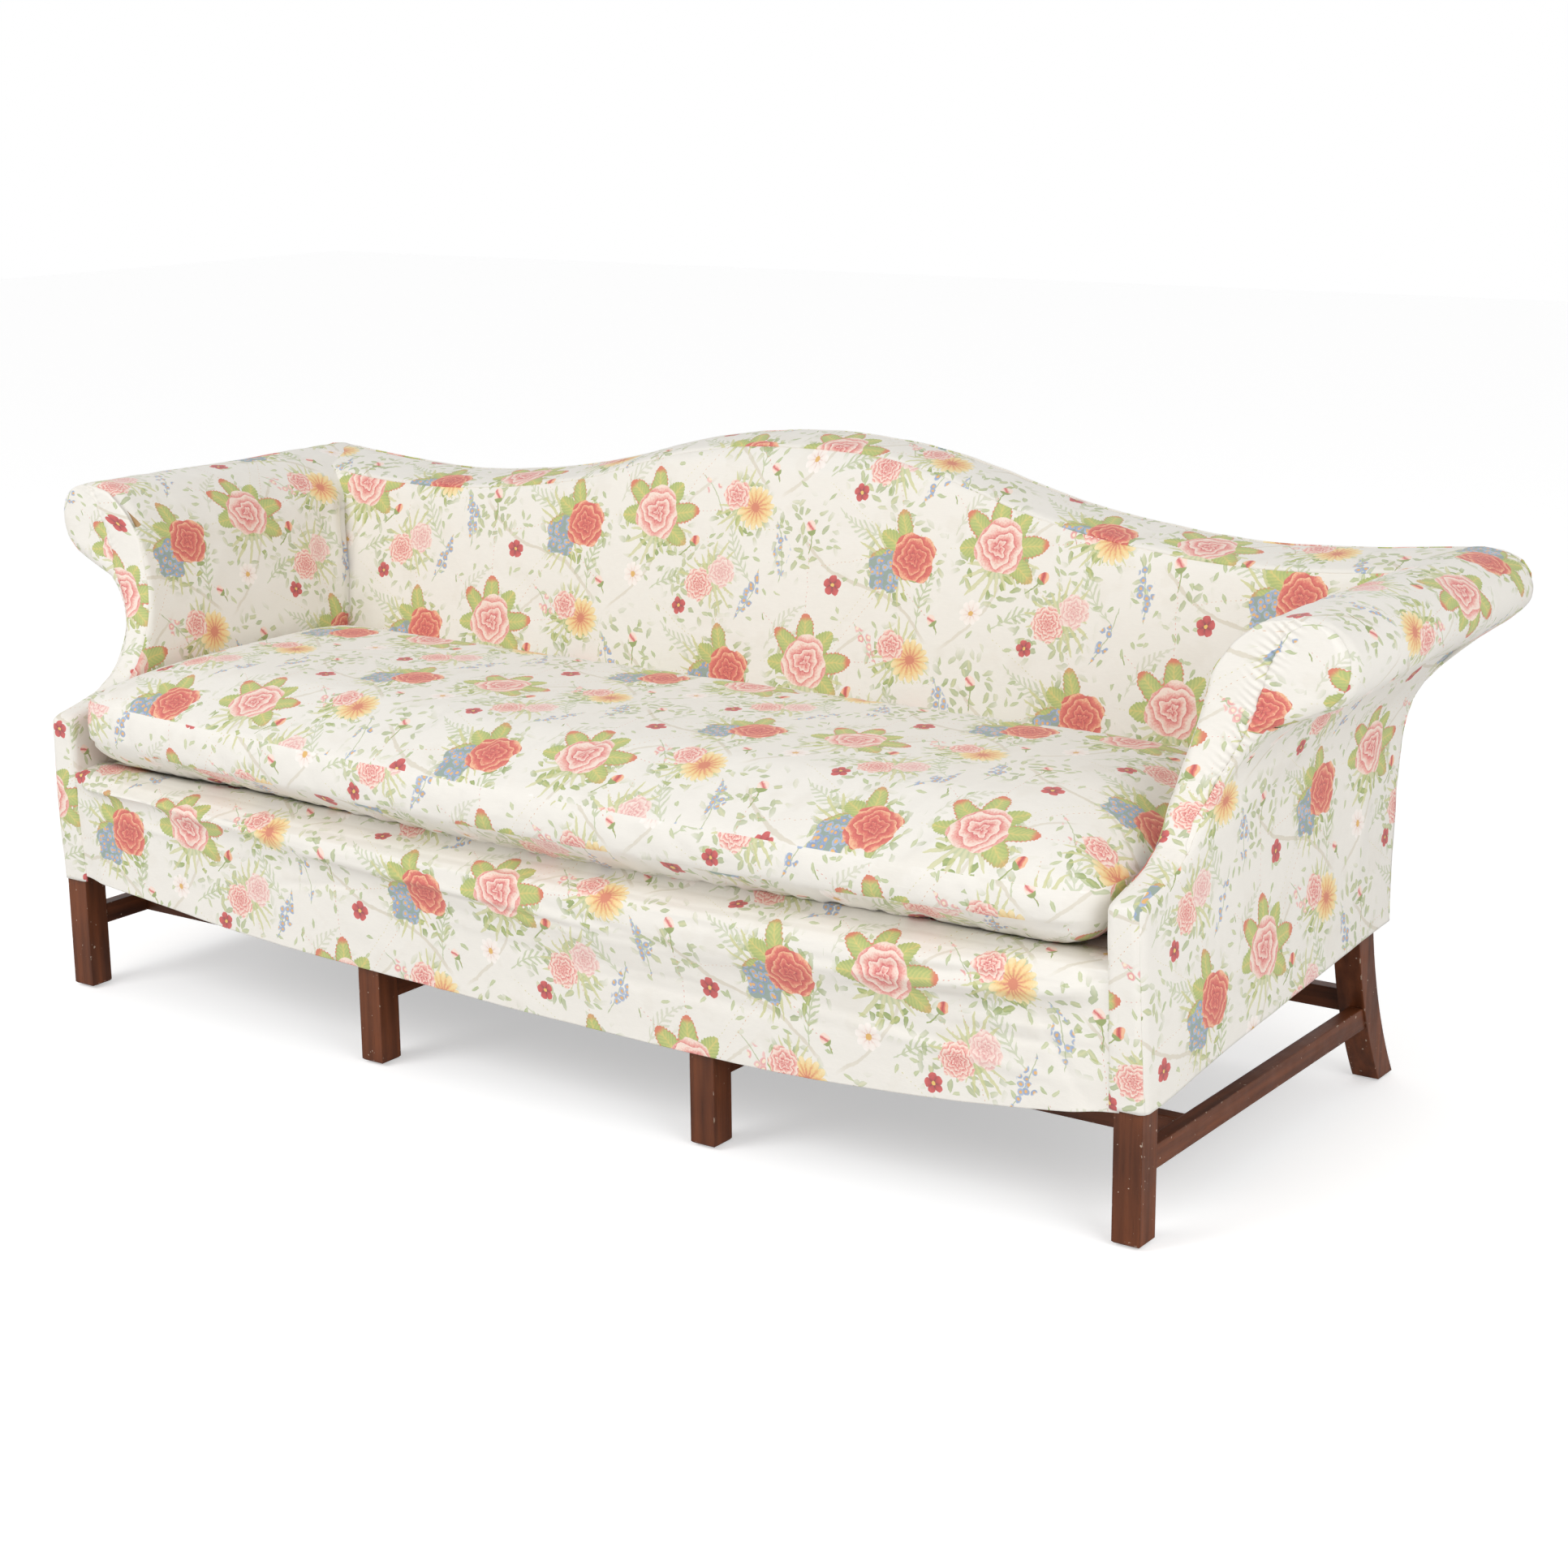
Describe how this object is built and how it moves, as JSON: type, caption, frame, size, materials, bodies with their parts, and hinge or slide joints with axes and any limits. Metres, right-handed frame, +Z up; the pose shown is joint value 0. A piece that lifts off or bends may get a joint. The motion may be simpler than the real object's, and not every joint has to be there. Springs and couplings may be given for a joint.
{
  "type": "camelback sofa",
  "caption": "Camelback sofa with outward-rolled arms, loose floral cover, long seat cushion and stretchered wooden legs.",
  "frame": {"origin": "middle of the sofa's footprint, at the floor", "axes": "+Z up, -Y to the front, +X to the sitter's left and to the right of someone facing the sofa"},
  "size_m": [2.381, 0.8952, 0.9099],
  "materials": {
    "mahogany": "satin",
    "frame_beech": "matte",
    "printed_cotton": "glazed",
    "zip_tape": "matte",
    "down_filling": "matte",
    "hair_stuffing": "matte",
    "jute_webbing": "matte",
    "hessian": "matte",
    "dust_cloth": "matte",
    "glide_steel": "satin"
  },
  "bodies": {
    "frame": {"arm_roll_rail_left": "frame_beech", "arm_roll_rail_right": "frame_beech", "arm_slat_left": "frame_beech", "arm_slat_right": "frame_beech", "arm_stuffing_left": "hair_stuffing", "arm_stuffing_right": "hair_stuffing", "arm_stump_left": "frame_beech", "arm_stump_right": "frame_beech", "back_leg_left": "mahogany", "back_leg_mid_left": "mahogany", "back_leg_mid_right": "mahogany", "back_leg_right": "mahogany", "back_post_left": "frame_beech", "back_post_right": "frame_beech", "back_rail": "frame_beech", "back_stuffing": "hair_stuffing", "back_tacking_rail": "frame_beech", "back_upright_left": "frame_beech", "back_upright_right": "frame_beech", "cover_arm_front_left": "printed_cotton", "cover_arm_front_right": "printed_cotton", "cover_back_closure": "zip_tape", "cover_deck": "printed_cotton", "cover_front_apron": "printed_cotton", "cover_inside_arm_left": "printed_cotton", "cover_inside_arm_right": "printed_cotton", "cover_inside_back": "printed_cotton", "cover_outside_arm_left": "printed_cotton", "cover_outside_arm_right": "printed_cotton", "cover_outside_back": "printed_cotton", "cover_top_band": "printed_cotton", "crest_rail": "frame_beech", "cross_rail_left": "frame_beech", "cross_rail_right": "frame_beech", "deck_stuffing": "hair_stuffing", "dust_cover": "dust_cloth", "front_leg_left": "mahogany", "front_leg_mid_left": "mahogany", "front_leg_mid_right": "mahogany", "front_leg_right": "mahogany", "front_rail": "frame_beech", "glue_blocks": "frame_beech", "leg_glides": "glide_steel", "medial_stretcher": "mahogany", "rear_stretcher": "mahogany", "seat_edge_roll": "hair_stuffing", "seat_hessian": "hessian", "seat_webbing": "jute_webbing", "side_rail_left": "frame_beech", "side_rail_right": "frame_beech", "stretcher_left": "mahogany", "stretcher_mid_left": "mahogany", "stretcher_mid_right": "mahogany", "stretcher_right": "mahogany"},
    "cushion": {"cushion_case": "printed_cotton", "cushion_filling": "down_filling", "cushion_zip": "zip_tape"}
  },
  "joints": [
    {"name": "cushion_lift", "type": "slide", "parent": "frame", "child": "cushion", "axis": [0, 0, 1], "range_m": [0, 0.6]}
  ]
}
